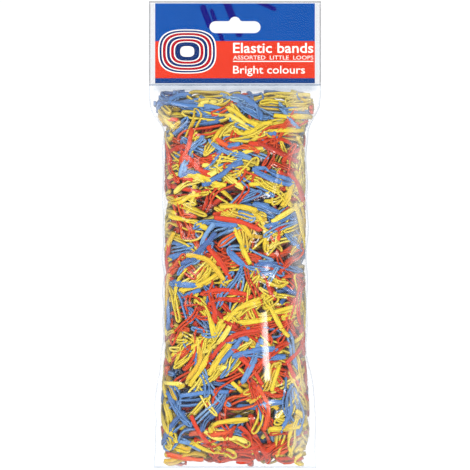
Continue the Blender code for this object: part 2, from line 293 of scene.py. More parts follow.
pile = {
    "seed": 21,
    "mostBands": 1240,
    "tries": 8,
    "laterTries": 4,  # for each further band of a clump
    "patience": 400,
    "loopLength": 68.0 * mm,
    "stripWidth": 2.4 * mm,
    "stripThickness": 1.0 * mm,
    "flattest": 0.35,  # a strip on its face still takes this share of its thickness
    "depth": 9.2 * mm,  # the layer of modelled bands under the film
    "floorShare": 0.92,  # where the pouch is thinner, the layer's floor lies this share of the way in
    "squeeze": 3.2 * mm,  # how far a band may stand into the film before the pile settles
    "clearance": 0.3 * mm,
    "cell": 0.7 * mm,
    "pathPoints": 108,  # along one loop
    "links": 36,  # the same loop while the pile settles
    "bins": 18,  # places along a loop at which it rests on the pile
    "flatten": 0.6,  # how far the pile's weight closes a loop that stands on its edge
    "limpness": 3,
    "topGap": 1.2 * mm,
    "bottomGap": 1.2 * mm,
    "edgeGap": 1.0 * mm,  # a band's middle stays this much farther in
    "tilt": (24.0, 34.0),  # degrees of spread in heading at the neck, and how much more at the foot
    "tilted": 0.8,  # the share of bands that keep to it
    "anyTurn": 1.57,  # radians either way for the rest
    "besideTurn": 7.0,  # degrees between bands of one clump
    "besideSlide": 3.5 * mm,
    "besideShift": (2.2 * mm, 1.4 * mm),  # step from one band of a clump to the next, and its scatter
    "sameRoll": 0.6,  # the share of a clump's bands that roll like its first one
    "sameRollScatter": 0.15,
    "seenWidth": 2.45 * mm,  # a strip is drawn a little fuller than it is laid
    "seenThickness": 1.25 * mm,
    "roundness": 0.42,  # how far a strip's shading normals lean out at its edges
    "smoothing": 2,
    "rings": (-2, -1, 0, 1, 2, 3, 4, 6, 8, 10, 12, 14),  # links drawn, counted from each of the two tips
    "colours": ("yellow", "red", "blue"),
    "shares": (0.43, 0.36, 0.21),
    "neckShares": (0.34, 0.24, 0.42),  # the colours' shares near the neck
    "neckReach": 26.0 * mm,
    "clumps": ((1, 2, 3, 4), (0.46, 0.30, 0.16, 0.08)),  # how many like bands lie together, and how often
    "openLoops": 0.16,  # the share of bands that lie wide open
    "openWidth": (6.0, 10.5),  # mm
    "closedWidth": (2.2, 3.4, 1.5),  # mm at least, mm more at most, and the power that favours narrow loops
    "pinch": (0.2, 0.45),  # most pinch of an open and of a closed loop
    "taper": 0.45,  # how much wider one end of a loop may be
    "rolls": ((6.0, 28.0, 52.0, 78.0, 90.0), (0.24, 0.18, 0.18, 0.18, 0.22)),  # degrees, and how often
    "rollScatter": 8.0,
    "twist": 26.0,  # degrees
    "bow": 4.0,  # mm, as are the next two
    "wave": 1.9,
    "hook": 9.0,
    "hookFrom": 0.3,  # share of the half length past which a loop hooks
    "narrowest": 0.55 * mm,
}

flatGrid = {
    "rows": 261,
    "lastRow": 259.999,
    "angles": 361,
    "steps": 240,  # equal steps round the girth
    "inset": 4.0 * mm,
    "slope": 0.6,  # how much of the domes' rise counts into the length down the pillow
}


def buildWrap():
    # lays the pillow out flat: rows down the middle line, columns round the girth in equal shares
    heights = np.linspace(pouch["top"], pouch["bottom"], flatGrid["rows"])
    depths = halfDepthAt(heights)
    steps = np.hypot(np.diff(heights), flatGrid["slope"] * np.diff(depths))
    down = np.concatenate([[0.0], np.cumsum(steps)])
    angles = np.linspace(0, 2 * math.pi, flatGrid["angles"])
    places = flatGrid["steps"] + 1
    table = np.empty((len(heights), places))
    girths = np.empty(len(heights))
    for row, z in enumerate(heights):
        x, y = sectionAt(angles, z, min(flatGrid["inset"], 0.5 * depths[row]))
        length = np.concatenate([[0.0], np.cumsum(np.hypot(np.diff(x), np.diff(y)))])
        girths[row] = length[-1]
        table[row] = np.interp(np.linspace(0, length[-1], places), length, angles)
    return {"heights": heights, "down": down, "table": table, "girth": float(np.median(girths))}


wrap = buildWrap()
wrap["length"] = float(wrap["down"][-1])
print("pillow laid flat:", round(wrap["girth"], 4), "by", round(wrap["length"], 4))


def ontoPillow(around, down, height):
    # flat place (distance round, distance down, height over the pile's floor) to a point of the pouch
    z = np.interp(down, wrap["down"], wrap["heights"])
    share = around / wrap["girth"]
    turns = np.floor(share)
    steps = flatGrid["steps"]
    column = (share - turns) * steps
    row = np.clip(np.interp(down, wrap["down"], np.arange(flatGrid["rows"])), 0, flatGrid["lastRow"])
    r, c = np.floor(row).astype(int), np.minimum(np.floor(column).astype(int), steps - 1)
    partRow, partColumn = row - r, column - c
    table = wrap["table"]
    upper = table[r, c] * (1 - partColumn) + table[r, c + 1] * partColumn
    lower = table[r + 1, c] * (1 - partColumn) + table[r + 1, c + 1] * partColumn
    angle = upper * (1 - partRow) + lower * partRow
    x, y = sectionAt(angle, z, pile["depth"] - height)
    return np.stack([x, y, z], axis=-1)


def loopPath(opening):
    # the flattened loop: two straight runs joined by two half circles, at equal steps along its length
    radius = opening / 2
    run = (pile["loopLength"] - math.pi * opening) / 2
    tip = math.pi * radius
    at = np.arange(pile["pathPoints"]) / pile["pathPoints"] * pile["loopLength"]
    firstTip = at < tip
    topRun = (at >= tip) & (at < tip + run)
    lastTip = (at >= tip + run) & (at < 2 * tip + run)
    turn = np.where(firstTip, at / radius - math.pi / 2, (at - tip - run) / radius + math.pi / 2)
    x = np.where(topRun, run / 2 - (at - tip), at - 2 * tip - 1.5 * run)
    y = np.where(topRun, radius, -radius)
    bent = firstTip | lastTip
    x = np.where(bent, np.where(firstTip, run / 2, -run / 2) + radius * np.cos(turn), x)
    y = np.where(bent, radius * np.sin(turn), y)
    return x, y, run / 2 + radius


def bandShape(source):
    # how one loop lies: its opening, pinch, taper, roll, twist and bow
    wideOpen = source.random() < pile["openLoops"]
    roll = 0.0 if wideOpen else source.choice(pile["rolls"][0], p=pile["rolls"][1])
    least, more, power = pile["closedWidth"]
    opening = source.uniform(*pile["openWidth"]) if wideOpen else least + more * source.random() ** power
    return {
        "opening": opening * mm,
        "pinch": source.uniform(0.0, pile["pinch"][0 if wideOpen else 1]),
        "taper": source.uniform(-pile["taper"], pile["taper"]),
        "roll": math.radians(roll * source.choice([-1, 1]) + source.normal(0, pile["rollScatter"])),
        "twist": math.radians(source.normal(0, pile["twist"])),
        "bow": source.normal(0, pile["bow"]) * mm,
        "wave": source.normal(0, pile["wave"]) * mm,
        "hook": source.normal(0, pile["hook"]) * mm,
    }


def bandFlat(shape):
    # centre line and strip direction of a loop before it is laid: along, across and up
    x, y, reach = loopPath(shape["opening"])
    share = x / reach
    spread = (1 - shape["pinch"] * (1 - share**2)) * (1 + shape["taper"] * share)
    y = np.sign(y) * np.maximum(np.abs(y * spread), np.minimum(np.abs(y), pile["narrowest"]))
    roll = shape["roll"] + shape["twist"] * share
    bend = shape["bow"] * (share**2 - 0.5) + shape["wave"] * np.sin(math.pi * share)
    bend = bend + shape["hook"] * np.clip(share - pile["hookFrom"], 0, 1) ** 2
    across = y * np.cos(roll) + bend
    up = y * np.sin(roll) * pile["flatten"]
    return x, across, up, roll, share


def settle(needed, bins):
    # a stiff line over what lies beneath: each place is as high as its need or as its neighbours' mean
    lift = np.full(pile["bins"], -1.0)
    np.maximum.at(lift, bins, needed)
    base = lift.copy()
    for _ in range(pile["limpness"]):
        padded = np.concatenate([[lift[0]], lift, [lift[-1]]])
        lift = np.maximum(base, (padded[:-2] + padded[1:-1] + padded[2:]) / 3)
    return lift


def layBand(ground, place, heading, shape):
    # one loop let down on the height map: None if it leaves the pouch or stands too far over the film
    cell, ceiling = pile["cell"], pile["depth"] - pile["clearance"]
    rows, columns = ground.shape
    sides = np.array([-1.0, -0.5, 0.0, 0.5, 1.0]) * pile["stripWidth"] / 2
    along, across, up, roll, share = bandFlat(shape)
    acrossAll = across[:, None] - sides * np.sin(roll)[:, None]
    upAll = up[:, None] + sides * np.cos(roll)[:, None]
    aroundAll = place[0] + along[:, None] * math.cos(heading) - acrossAll * math.sin(heading)
    downAll = place[1] + along[:, None] * math.sin(heading) + acrossAll * math.cos(heading)
    if downAll.min() < pile["topGap"] or downAll.max() > wrap["length"] - pile["bottomGap"]:
        return None
    column = np.floor(aroundAll / cell).astype(int) % columns
    row = np.clip((downAll / cell).astype(int), 0, rows - 1)
    half = pile["stripThickness"] / 2 * np.maximum(np.abs(np.sin(roll)), pile["flattest"])[:, None]
    needed = ground[row, column] - (upAll - half)
    bins = np.clip(((share + 1) / 2 * pile["bins"]).astype(int), 0, pile["bins"] - 1)
    lift = settle(needed.ravel(), np.repeat(bins, len(sides)))
    lifted = np.interp(share, (np.arange(pile["bins"]) + 0.5) / pile["bins"] * 2 - 1, lift)
    top = upAll + lifted[:, None] + half
    over = float(top.max() - ceiling)
    if over > pile["squeeze"]:
        return None
    return {
        "score": float(top.mean()),
        "place": place,
        "heading": heading,
        "shape": shape,
        "lifted": lifted - np.clip(top.max(axis=1) - ceiling, 0, None),
        "cells": (row, column),
        "top": np.minimum(top, ceiling),
    }


def placeAnywhere(source):
    # a place on the flat pillow and a heading: mostly level at the neck, less so towards the foot
    inner = pile["edgeGap"]
    place = (
        source.uniform(0, wrap["girth"]),
        source.uniform(pile["topGap"] + inner, wrap["length"] - pile["bottomGap"] - inner),
    )
    spread = math.radians(pile["tilt"][0] + pile["tilt"][1] * place[1] / wrap["length"])
    if source.random() < pile["tilted"]:
        return place, source.normal(0, spread)
    return place, source.uniform(-pile["anyTurn"], pile["anyTurn"])


def placeBeside(source, seed):
    # a place beside an earlier band of the same clump, nearly parallel to it
    turn = seed["heading"] + source.normal(0, math.radians(pile["besideTurn"]))
    slide = source.normal(0, pile["besideSlide"])
    shift = source.normal(0, pile["besideShift"][1]) + pile["besideShift"][0]
    around = seed["place"][0] + slide * math.cos(turn) - shift * math.sin(turn)
    down = seed["place"][1] + slide * math.sin(turn) + shift * math.cos(turn)
    return (around, down), turn


def lowestTry(source, ground, model, seed, member):
    # of a few tries, the one that comes to lie lowest on the pile
    best = None
    for _ in range(pile["tries"] if seed is None else pile["laterTries"]):
        place, turn = placeAnywhere(source) if seed is None else placeBeside(source, seed)
        shape = bandShape(source)
        if member and source.random() < pile["sameRoll"]:
            shape["roll"] = model["roll"] + source.normal(0, pile["sameRollScatter"])
        tried = layBand(ground, place, turn, shape)
        if tried and (best is None or tried["score"] < best["score"]):
            best = tried
    return best


def buildPile():
    # lays clumps of like loops one after another on a height map, lowest places first
    source = np.random.default_rng(pile["seed"])
    cell = pile["cell"]
    columns = int(round(wrap["girth"] / cell))
    rows = int(wrap["length"] / cell)
    rowDepth = halfDepthAt(np.interp((np.arange(rows) + 0.5) * cell, wrap["down"], wrap["heights"]))
    floor = np.maximum(pile["depth"] - pile["floorShare"] * rowDepth, 0.0)
    ground = np.repeat(floor[:, None], columns, axis=1)
    placed, misses = [], 0
    while len(placed) < pile["mostBands"] and misses < pile["patience"]:
        pick = source.random()
        model, seed = bandShape(source), None
        for member in range(int(source.choice(pile["clumps"][0], p=pile["clumps"][1]))):
            best = lowestTry(source, ground, model, seed, member)
            if best is None:
                misses += 1
                continue
            if seed is None:
                shares = pile["neckShares" if best["place"][1] < pile["neckReach"] else "shares"]
                colour = min(int(np.searchsorted(np.cumsum(shares), pick, side="right")), len(shares) - 1)
            misses, seed = 0, best
            np.maximum.at(ground, best["cells"], best["top"])
            best.update(colour=colour, tint=source.random())
            placed.append(best)
    return placed


def bandLinks(band):
    # two rows of points, one along each side of the strip, carried onto the pillow
    (around, down), turn = band["place"], band["heading"]
    along, across, up, roll, _ = bandFlat(band["shape"])
    centre = np.stack([along, across, up + band["lifted"]], axis=1)
    width = np.stack([np.zeros_like(roll), -np.sin(roll), np.cos(roll)], axis=1)
    step = pile["pathPoints"] // pile["links"]
    local = np.stack([centre + width * half for half in (-settling["row"], settling["row"])], axis=1)[::step]
    flatAround = around + local[..., 0] * math.cos(turn) - local[..., 1] * math.sin(turn)
    flatDown = down + local[..., 0] * math.sin(turn) + local[..., 1] * math.cos(turn)
    return ontoPillow(flatAround, flatDown, local[..., 2])


settling = {
    "rounds": 260,
    "row": 0.75 * mm,  # each row of points runs this far from the strip's middle
    "touch": 1.18 * mm,  # two points of different strips come no closer
    "margin": 0.5 * mm,
    "searchEvery": 7,
    "reportEvery": 65,
    "ownLinks": 2,  # points this near along one loop don't push each other
    "calm": 1.4,  # a point with several neighbours moves by this part of their sum
    "pulls": 2,
    "straighten": 0.018,
    "swell": 2.6 * mm,  # the film starts this far out and draws in
    "drawIn": 0.6,
    "under": 0.55 * mm,  # a strip's middle stays this far under the film
    "thinnest": 0.35 * mm,
    "heart": 9.0 * mm,
    "heartPush": 0.5,
    "heartLeast": (0.1 * mm, 0.5 * mm, 0.3),  # least depth, depth that counts and share of the heart
    "ragged": (1.8, 0.8),  # mm from the foot, and mm more that come and go along it
    "raggedPitch": (5.3 * mm, 13.0 * mm),
    "topRoom": 0.9 * mm,
    "sinking": 3.0 * mm,  # how far the lowest bands work down into the foot
    "sinkFrom": 24.0 * mm,
    "footRoom": 1.4 * mm,
}
tiny = 1e-9


def nearPairs(points, reach, links):
    # all pairs of points within reach, found by sorting them into cubes, leaving out close ones of one loop
    cube = np.floor(points / reach).astype(np.int64)
    cube -= cube.min(axis=0) - 1
    size = cube.max(axis=0) + 2
    key = (cube[:, 0] * size[1] + cube[:, 1]) * size[2] + cube[:, 2]
    order = np.argsort(key, kind="stable")
    key = key[order]
    index = np.arange(len(key))
    firsts, seconds = [], []
    for x, y in ((0, 0), (0, 1), (1, -1), (1, 0), (1, 1)):
        shift = (x * size[1] + y) * size[2]
        low = index + 1 if shift == 0 else np.searchsorted(key, key + shift - 1, "left")
        high = np.searchsorted(key, key + shift + 1, "right")
        count = high - low
        start = np.cumsum(count) - count
        firsts.append(np.repeat(index, count))
        seconds.append(np.arange(count.sum()) - np.repeat(start - low, count))
    first, second = order[np.concatenate(firsts)], order[np.concatenate(seconds)]
    apart = np.abs(points[first] - points[second])
    close = (apart**2).sum(axis=1) < reach**2
    first, second = first[close], second[close]
    sameLoop = first // (2 * links) == second // (2 * links)
    steps = np.abs(first // 2 % links - second // 2 % links)
    keep = ~(sameLoop & (np.minimum(steps, links - steps) <= settling["ownLinks"]))
    return first[keep], second[keep]


def pullTogether(points, first, second, length):
    # moves both ends of each link equally along it until it is as long as it should be
    link = points[second] - points[first]
    far = np.sqrt((link**2).sum(axis=-1, keepdims=True)) + tiny
    move = link * (0.5 * (far - length) / far)
    points[first] += move
    points[second] -= move


def sectionShare(flat, reach, depth):
    # superellipse measure of each point in its section, 1 on the outline: (|x/a|^p + |y/b|^p)^(1/p)
    power = pouch["sectionPower"]
    return ((np.abs(flat[:, 0]) / reach) ** power + (np.abs(flat[:, 1]) / depth) ** power) ** (1 / power)


def holdInside(flat, swell):
    # scales a point's section place onto the film or the heart where it is past either
    z = flat[:, 2]
    reach = halfWidthAt(z) - flangeAt(z) - pile["clearance"] - settling["under"] + swell
    depth = halfDepthAt(z) - pile["clearance"] - settling["under"] + swell
    outer = sectionShare(flat, reach, np.maximum(depth, settling["thinnest"]))
    flat[:, :2] /= np.maximum(outer, 1.0)[:, None]
    least, counts, middle = settling["heartLeast"]
    deep = halfDepthAt(z) - settling["heart"]
    wide = halfWidthAt(z) - flangeAt(z) - settling["heart"]
    inner = sectionShare(flat, wide, np.maximum(deep, least))
    within = (inner < 1) & (deep > counts)
    push = np.where(within, 1 + settling["heartPush"] * (1 / np.maximum(inner, middle) - 1), 1.0)
    flat[:, :2] *= push[:, None]
    short, long = settling["raggedPitch"]
    ragged = 1 + np.sin(flat[:, 0] / short) * np.sin(flat[:, 0] / long + 1)
    room = (settling["ragged"][0] + settling["ragged"][1] * ragged) * mm
    np.clip(z, pouch["foot"] + room, pouch["top"] - settling["topRoom"], out=z)


def pushApart(flat, first, second):
    # moves both points of each touching pair half their overlap, shared out over all their neighbours
    apart = flat[second] - flat[first]
    far = np.sqrt((apart**2).sum(axis=1)) + tiny
    deep = np.maximum(settling["touch"] - far, 0.0)
    hit = deep > 0
    a, b = first[hit], second[hit]
    move = apart[hit] * (0.5 * deep[hit] / far[hit])[:, None]
    touching = np.bincount(a, minlength=len(flat)) + np.bincount(b, minlength=len(flat))
    sums = [np.bincount(b, move[:, k], len(flat)) - np.bincount(a, move[:, k], len(flat)) for k in range(3)]
    flat += np.stack(sums, axis=1) * (settling["calm"] / np.maximum(touching, settling["calm"]))[:, None]
    return deep[hit]


def stripLinks(count, links):
    # the pairs of points of every loop that keep their distance: along it, across it and slantwise
    linkLength = pile["loopLength"] / links
    slant = math.hypot(linkLength, 2 * settling["row"])
    start = np.arange(count)[:, None] * 2 * links
    everyLink = np.arange(links)
    pairs = []
    for near in (everyLink[0::2], everyLink[1::2]):
        for row in (0, 1):
            pairs.append((start + 2 * near + row, start + 2 * ((near + 1) % links) + row, linkLength))
    near, after = start + 2 * everyLink, start + 2 * ((everyLink + 1) % links)
    pairs.append((near, near + 1, 2 * settling["row"]))
    pairs.append((near, after + 1, slant))
    pairs.append((near + 1, after, slant))
    return [(a.ravel(), b.ravel(), length) for a, b, length in pairs]


def settlePile(placed):
    # position based dynamics: strips keep their length and width, push one another apart, and are
    # pressed in by the film
    rows = np.stack([bandLinks(band) for band in placed])
    count, links = rows.shape[:2]
    flat = rows.reshape(-1, 3)
    fixed = stripLinks(count, links)
    for step in range(settling["rounds"]):
        share = min(step / (settling["drawIn"] * settling["rounds"]), 1.0)
        if step % settling["searchEvery"] == 0:
            first, second = nearPairs(flat, settling["touch"] + settling["margin"], links)
        overlap = pushApart(flat, first, second)
        shaped = flat.reshape(count, links, 2, 3)
        mean = (np.roll(shaped, 1, axis=1) + np.roll(shaped, -1, axis=1)) / 2
        shaped += settling["straighten"] * (mean - shaped)
        for _ in range(settling["pulls"]):
            for pair in fixed:
                pullTogether(flat, *pair)
        holdInside(flat, settling["swell"] * (1 - share))
        if (step + 1) % settling["reportEvery"] == 0:
            print("settling round", step + 1, "mean overlap mm", round(float(overlap.mean() / mm), 3))
    settled = flat.reshape(count, links, 2, 3)
    low = eased((pouch["foot"] + settling["sinkFrom"] - settled[..., 2]) / settling["sinkFrom"])
    sunk = settled[..., 2] - settling["sinking"] * low
    settled[..., 2] = np.maximum(sunk, pouch["foot"] + settling["footRoom"])
    return settled


def stripRings(rows):
    # four corners round the strip at chosen links, closer together at the loop's two tips, with normals that
    # lean out at the edges
    centre = rows.mean(axis=2)
    for _ in range(pile["smoothing"]):
        centre = 0.5 * centre + 0.25 * (np.roll(centre, 1, axis=1) + np.roll(centre, -1, axis=1))
    run = np.roll(centre, -1, axis=1) - np.roll(centre, 1, axis=1)
    run /= np.linalg.norm(run, axis=-1, keepdims=True) + tiny
    width = rows[:, :, 1] - rows[:, :, 0]
    face = np.cross(run, width)
    face /= np.linalg.norm(face, axis=-1, keepdims=True) + tiny
    width = np.cross(face, run)
    tips = (0, pile["links"] // 2)
    chosen = np.array([(k + start) % pile["links"] for start in tips for k in pile["rings"]])
    wide, thick = width[:, chosen] * pile["seenWidth"] / 2, face[:, chosen] * pile["seenThickness"] / 2
    middle = centre[:, chosen]
    lean, out = width[:, chosen] * pile["roundness"], face[:, chosen]
    signs = ((1, 1), (1, -1), (-1, -1), (-1, 1))
    points = np.stack([middle + a * wide + b * thick for a, b in signs], axis=2)
    normals = np.stack([a * lean + b * out for a, b in signs], axis=2)
    return points, normals / np.linalg.norm(normals, axis=-1, keepdims=True)


# full shade lies at the reach, past a free depth without any; the spread and the blur count cells
shading = {"cell": 0.7 * mm, "spread": 2, "blur": 2, "free": 0.6 * mm, "reach": 7.0 * mm}


def highestNear(values, spread):
    # the largest value in the square of cells round each cell
    rows, columns = values.shape
    wide = np.pad(values, spread)
    span = range(2 * spread + 1)
    return np.max([wide[r : r + rows, c : c + columns] for r in span for c in span], axis=0)


def shadeUnder(points, settled):
    # how deep each point lies under its neighbours, in shares of the shade's reach
    cell = shading["cell"]
    middle = settled.mean(axis=2, keepdims=True)
    lines = np.concatenate([settled, middle], axis=2)
    denser = np.concatenate([lines, (lines + np.roll(lines, 1, axis=1)) / 2], axis=1).reshape(-1, 3)
    result = np.zeros(points.shape[:-1])
    rows = int((pouch["top"] - pouch["bottom"]) / cell) + 3
    columns = int(2 * pouch["neckHalf"] / cell) + 3

    def cellsOf(place):
        row = np.clip(((pouch["top"] - place[..., 2]) / cell).astype(int), 0, rows - 1)
        column = np.clip(((place[..., 0] + pouch["neckHalf"]) / cell).astype(int), 0, columns - 1)
        return row, column

    for facing in (1, -1):
        side = denser[denser[:, 1] * facing < 0]
        height = np.zeros((rows, columns))
        np.maximum.at(height, cellsOf(side), np.abs(side[:, 1]))
        height = blurred(highestNear(height, shading["spread"]), shading["blur"])
        here = points[..., 1] * facing < 0
        under = height[cellsOf(points[here])] - np.abs(points[here][:, 1])
        result[here] = np.clip((under - shading["free"]) / shading["reach"], 0, 1)
    return result


placedBands = buildPile()
print("bands laid:", len(placedBands))
settled = settlePile(placedBands)
strips, stripNormals = stripRings(settled)
stripShade = shadeUnder(strips, settled)
print("mean shade", round(float(stripShade.mean()), 3))


def bandFaces(count, rings, corners):
    # closed rings joined round each loop; the pattern of one loop is repeated with an offset
    ring, corner = np.meshgrid(np.arange(rings), np.arange(corners), indexing="ij")
    after, follow = (ring + 1) % rings, (corner + 1) % corners
    one = np.stack(
        [
            ring * corners + corner,
            after * corners + corner,
            after * corners + follow,
            ring * corners + follow,
        ],
        axis=-1,
    ).reshape(-1, 4)
    starts = np.arange(count)[:, None, None] * rings * corners
    return (one[None] + starts).reshape(-1, 4).tolist()


def addAcross(piece, count, rings):
    # UV of each strip: 0 to 0.6 across its broad faces, 0.7 to 0.9 across its cut sides, and on along it
    corners = 4
    low, high = np.array([0.7, 0.0, 0.7, 0.0]), np.array([0.9, 0.6, 0.9, 0.6])
    ring = np.arange(rings)[:, None] / rings + np.zeros((1, corners))
    u = np.broadcast_to(np.stack([low, low, high, high], axis=-1), (rings, corners, 4))
    v = np.stack([ring, ring + 1 / rings, ring + 1 / rings, ring], axis=-1)
    one = np.stack([u, v], axis=-1).reshape(1, -1)
    layer = piece.data.uv_layers.new(name="across")
    layer.data.foreach_set("uv", np.repeat(one, count, axis=0).astype(np.float32).ravel())


rubber = {
    # each colour's base, deeper and paler tints, and its colour in deep shade
    "yellow": (srgb(181, 157, 22), srgb(172, 128, 12), srgb(197, 180, 80), srgb(70, 55, 12)),
    "red": (srgb(166, 37, 13), srgb(133, 19, 10), srgb(187, 78, 34), srgb(58, 12, 7)),
    "blue": (srgb(55, 94, 147), srgb(28, 56, 112), srgb(107, 139, 171), srgb(14, 25, 53)),
    "baseTints": (0.35, 0.75),  # a loop's tint is the plain base between these two
    "bloomScale": 260.0,
    "bloom": 0.3,
    "cutPaler": 0.3,  # how much paler the cut sides are
    "rim": 0.65,  # painted shade: how much darker the strip's edges are drawn
    "rimPower": 5.0,
    "shadePower": 0.8,
    "rough": (0.36, 0.2),  # at least, and more where it has bloomed
    "grainScale": 2600.0,
    "grain": (0.15, 0.2 * mm),
    "shine": 0.14,
}


def stripPlace(made):
    # whether a point is on a cut side, and how far it is from that face's middle, 1 at its edges
    stripMap = made.add("ShaderNodeUVMap", uv_map="across").outputs[0]
    across = made.add("ShaderNodeSeparateXYZ", {0: stripMap}).outputs[0]
    cut = made.math("GREATER_THAN", across, 0.65)
    middle = made.math("MULTIPLY_ADD", cut, 0.5, 0.3)
    away = made.math("ABSOLUTE", made.math("SUBTRACT", across, middle))
    return cut, made.math("MULTIPLY", away, 1 / 0.3)


def rubberMaterial(name, base, deep, pale, dark):
    # satin rubber: each loop has its own tint, with a fine bloom; painted shade darkens it down in the pile
    # and at its edges
    made = Nodes(name)
    where = made.place()
    bloom = made.noise(where, rubber["bloomScale"], 3.0)
    low, high = rubber["baseTints"]
    colour = made.ramp(made.value("tint"), [(0.0, deep), (low, base), (high, base), (1.0, pale)])
    colour = made.mix(made.math("MULTIPLY", bloom, rubber["bloom"]), colour, pale)
    cut, fromMiddle = stripPlace(made)
    # painted shade: the strip's edges are drawn darker, towards the deep-shade tint, as if rounded off into
    # shadow
    rim = made.math("MULTIPLY", made.math("POWER", fromMiddle, rubber["rimPower"]), rubber["rim"])
    colour = made.mix(made.math("MULTIPLY", cut, rubber["cutPaler"]), colour, pale)
    colour = made.mix(rim, colour, dark)
    # painted shade: the colour goes towards its deep-shade tint where the point lies under its neighbours
    colour = made.mix(made.math("POWER", made.value("shade"), rubber["shadePower"]), colour, dark)
    smooth, rougher = rubber["rough"]
    shader = made.add(
        "ShaderNodeBsdfPrincipled",
        {
            "Base Color": colour,
            "Roughness": made.math("MULTIPLY_ADD", bloom, rougher, smooth),
            "Normal": made.bump(made.noise(where, rubber["grainScale"], 2.0), *rubber["grain"]),
            "Specular IOR Level": rubber["shine"],
        },
    )
    return made.finish(shader.outputs[0])


cadBands = sorted(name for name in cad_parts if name.startswith("band_"))
colourOf = np.array([band["colour"] for band in placedBands])
tintOf = np.array([band["tint"] for band in placedBands])
for index, colour in enumerate(pile["colours"]):
    mine = colourOf == index
    points = strips[mine]
    count, rings, corners = points.shape[:3]
    piece = makeMesh(f"loops_{colour}", points, bandFaces(count, rings, corners))
    addValues(piece, "tint", np.repeat(tintOf[mine], rings * corners))
    addValues(piece, "shade", stripShade[mine])
    addAcross(piece, count, rings)
    piece.data.normals_split_custom_set_from_vertices(stripNormals[mine].reshape(-1, 3).tolist())
    giveMaterial(piece, rubberMaterial(f"rubber_{colour}", *rubber[colour]))
    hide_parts(*[name for name in cadBands if name.startswith(f"band_{colour}_")])
    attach(piece, "pouch")
    print(colour, "loops:", count, "faces:", len(piece.data.polygons))

# the pile's heart, seen only in the deepest gaps

heart = {
    "seed": 5,
    "rows": 110,
    "columns": 150,
    "inset": 9.4 * mm,
    "lump": 0.5 * mm,
    "lumpWaves": 6,
    "lumpPitch": (4.0 * mm, 9.0 * mm),
    "turnLength": 30.0 * mm,  # what one radian counts for in the lumps' pattern
    "ends": 13.0 * mm,
    "thinnest": 0.03,  # the share of the pouch's depth left where the inset would use it up
    "strandScale": (110.0, 110.0, 420.0),
    "strandLean": 0.5,
    "strandBend": 90.0,
    "strandGap": 7.0,  # the larger, the narrower the painted shade in the gaps is
    # painted shade: the gaps' colour, and the strands' colours below, are the rubbers darkened as if in shade
    "gapShadeColour": srgb(40, 28, 16),
    "strandColours": [(0.0, srgb(150, 120, 22)), (0.42, srgb(140, 32, 18)), (0.72, srgb(36, 68, 126))],
    "rough": (0.6, 0.2),
    "relief": (0.6, 0.8 * mm),
}


def makeHeart():
    # the pillow drawn in by a fixed inset, with low lumps, closed by a point at each end
    source = np.random.default_rng(heart["seed"])
    down = np.linspace(heart["ends"], wrap["length"] - heart["ends"], heart["rows"])[:, None]
    angle = np.linspace(0, 2 * math.pi, heart["columns"], endpoint=False)[None, :]
    z = np.interp(down, wrap["down"], wrap["heights"])
    inset = np.minimum(heart["inset"], (1 - heart["thinnest"]) * halfDepthAt(z))
    lumps = wavyNoise(angle * heart["turnLength"], z, source, heart["lumpWaves"], *heart["lumpPitch"])
    x, y = sectionAt(angle, z, inset + heart["lump"] * lumps)
    z = np.broadcast_to(z, x.shape)
    tips = [[0, 0, z[0, 0]], [0, 0, z[-1, 0]]]
    points = np.concatenate([np.stack([x, y, z], axis=-1).reshape(-1, 3), tips])
    wide = heart["columns"]
    row, column = np.meshgrid(np.arange(heart["rows"] - 1), np.arange(wide), indexing="ij")
    after = (column + 1) % wide
    upper, lower = row * wide, (row + 1) * wide
    quads = np.stack([upper + column, lower + column, lower + after, upper + after], axis=-1)
    last = heart["rows"] * wide
    faces = quads.reshape(-1, 4).tolist()
    faces += [(k, (k + 1) % wide, last) for k in range(wide)]
    faces += [(last - wide + (k + 1) % wide, last - wide + k, last + 1) for k in range(wide)]
    return makeMesh("pile_heart", points, faces)


def heartMaterial():
    # the pile below the modelled bands: slanted strand-like patches of the three rubbers in shade
    made = Nodes("shaded_rubber")
    where = made.place()
    bent = made.noise(where, heart["strandBend"], 2.0)
    stretch = {"Vector": where, "Rotation": (0.0, heart["strandLean"], 0.0), "Scale": heart["strandScale"]}
    turned = made.add("ShaderNodeMapping", stretch)
    moved = made.add("ShaderNodeVectorMath", {0: turned.outputs[0], 1: bent}, operation="ADD").outputs[0]
    strands = {"Vector": moved, "Scale": 1.0}
    cells = made.add("ShaderNodeTexVoronoi", strands)
    pick = made.add("ShaderNodeSeparateColor", {0: cells.outputs["Color"]}).outputs[0]
    lines = made.add("ShaderNodeTexVoronoi", strands, feature="DISTANCE_TO_EDGE").outputs[0]
    colour = made.ramp(pick, heart["strandColours"], "CONSTANT")
    # painted shade: dark lines between the strands
    edge = made.math("MINIMUM", made.math("MULTIPLY", lines, heart["strandGap"]), 1.0)
    colour = made.mix(edge, heart["gapShadeColour"], colour)
    smooth, rougher = heart["rough"]
    shader = made.add(
        "ShaderNodeBsdfPrincipled",
        {
            "Base Color": colour,
            "Roughness": made.math("MULTIPLY_ADD", bent, rougher, smooth),
            "Normal": made.bump(edge, *heart["relief"]),
        },
    )
    return made.finish(shader.outputs[0])


heartPiece = makeHeart()
giveMaterial(heartPiece, heartMaterial())
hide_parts("band_pile")
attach(heartPiece, "pouch")
print("heart made")

# clear film round the pillow

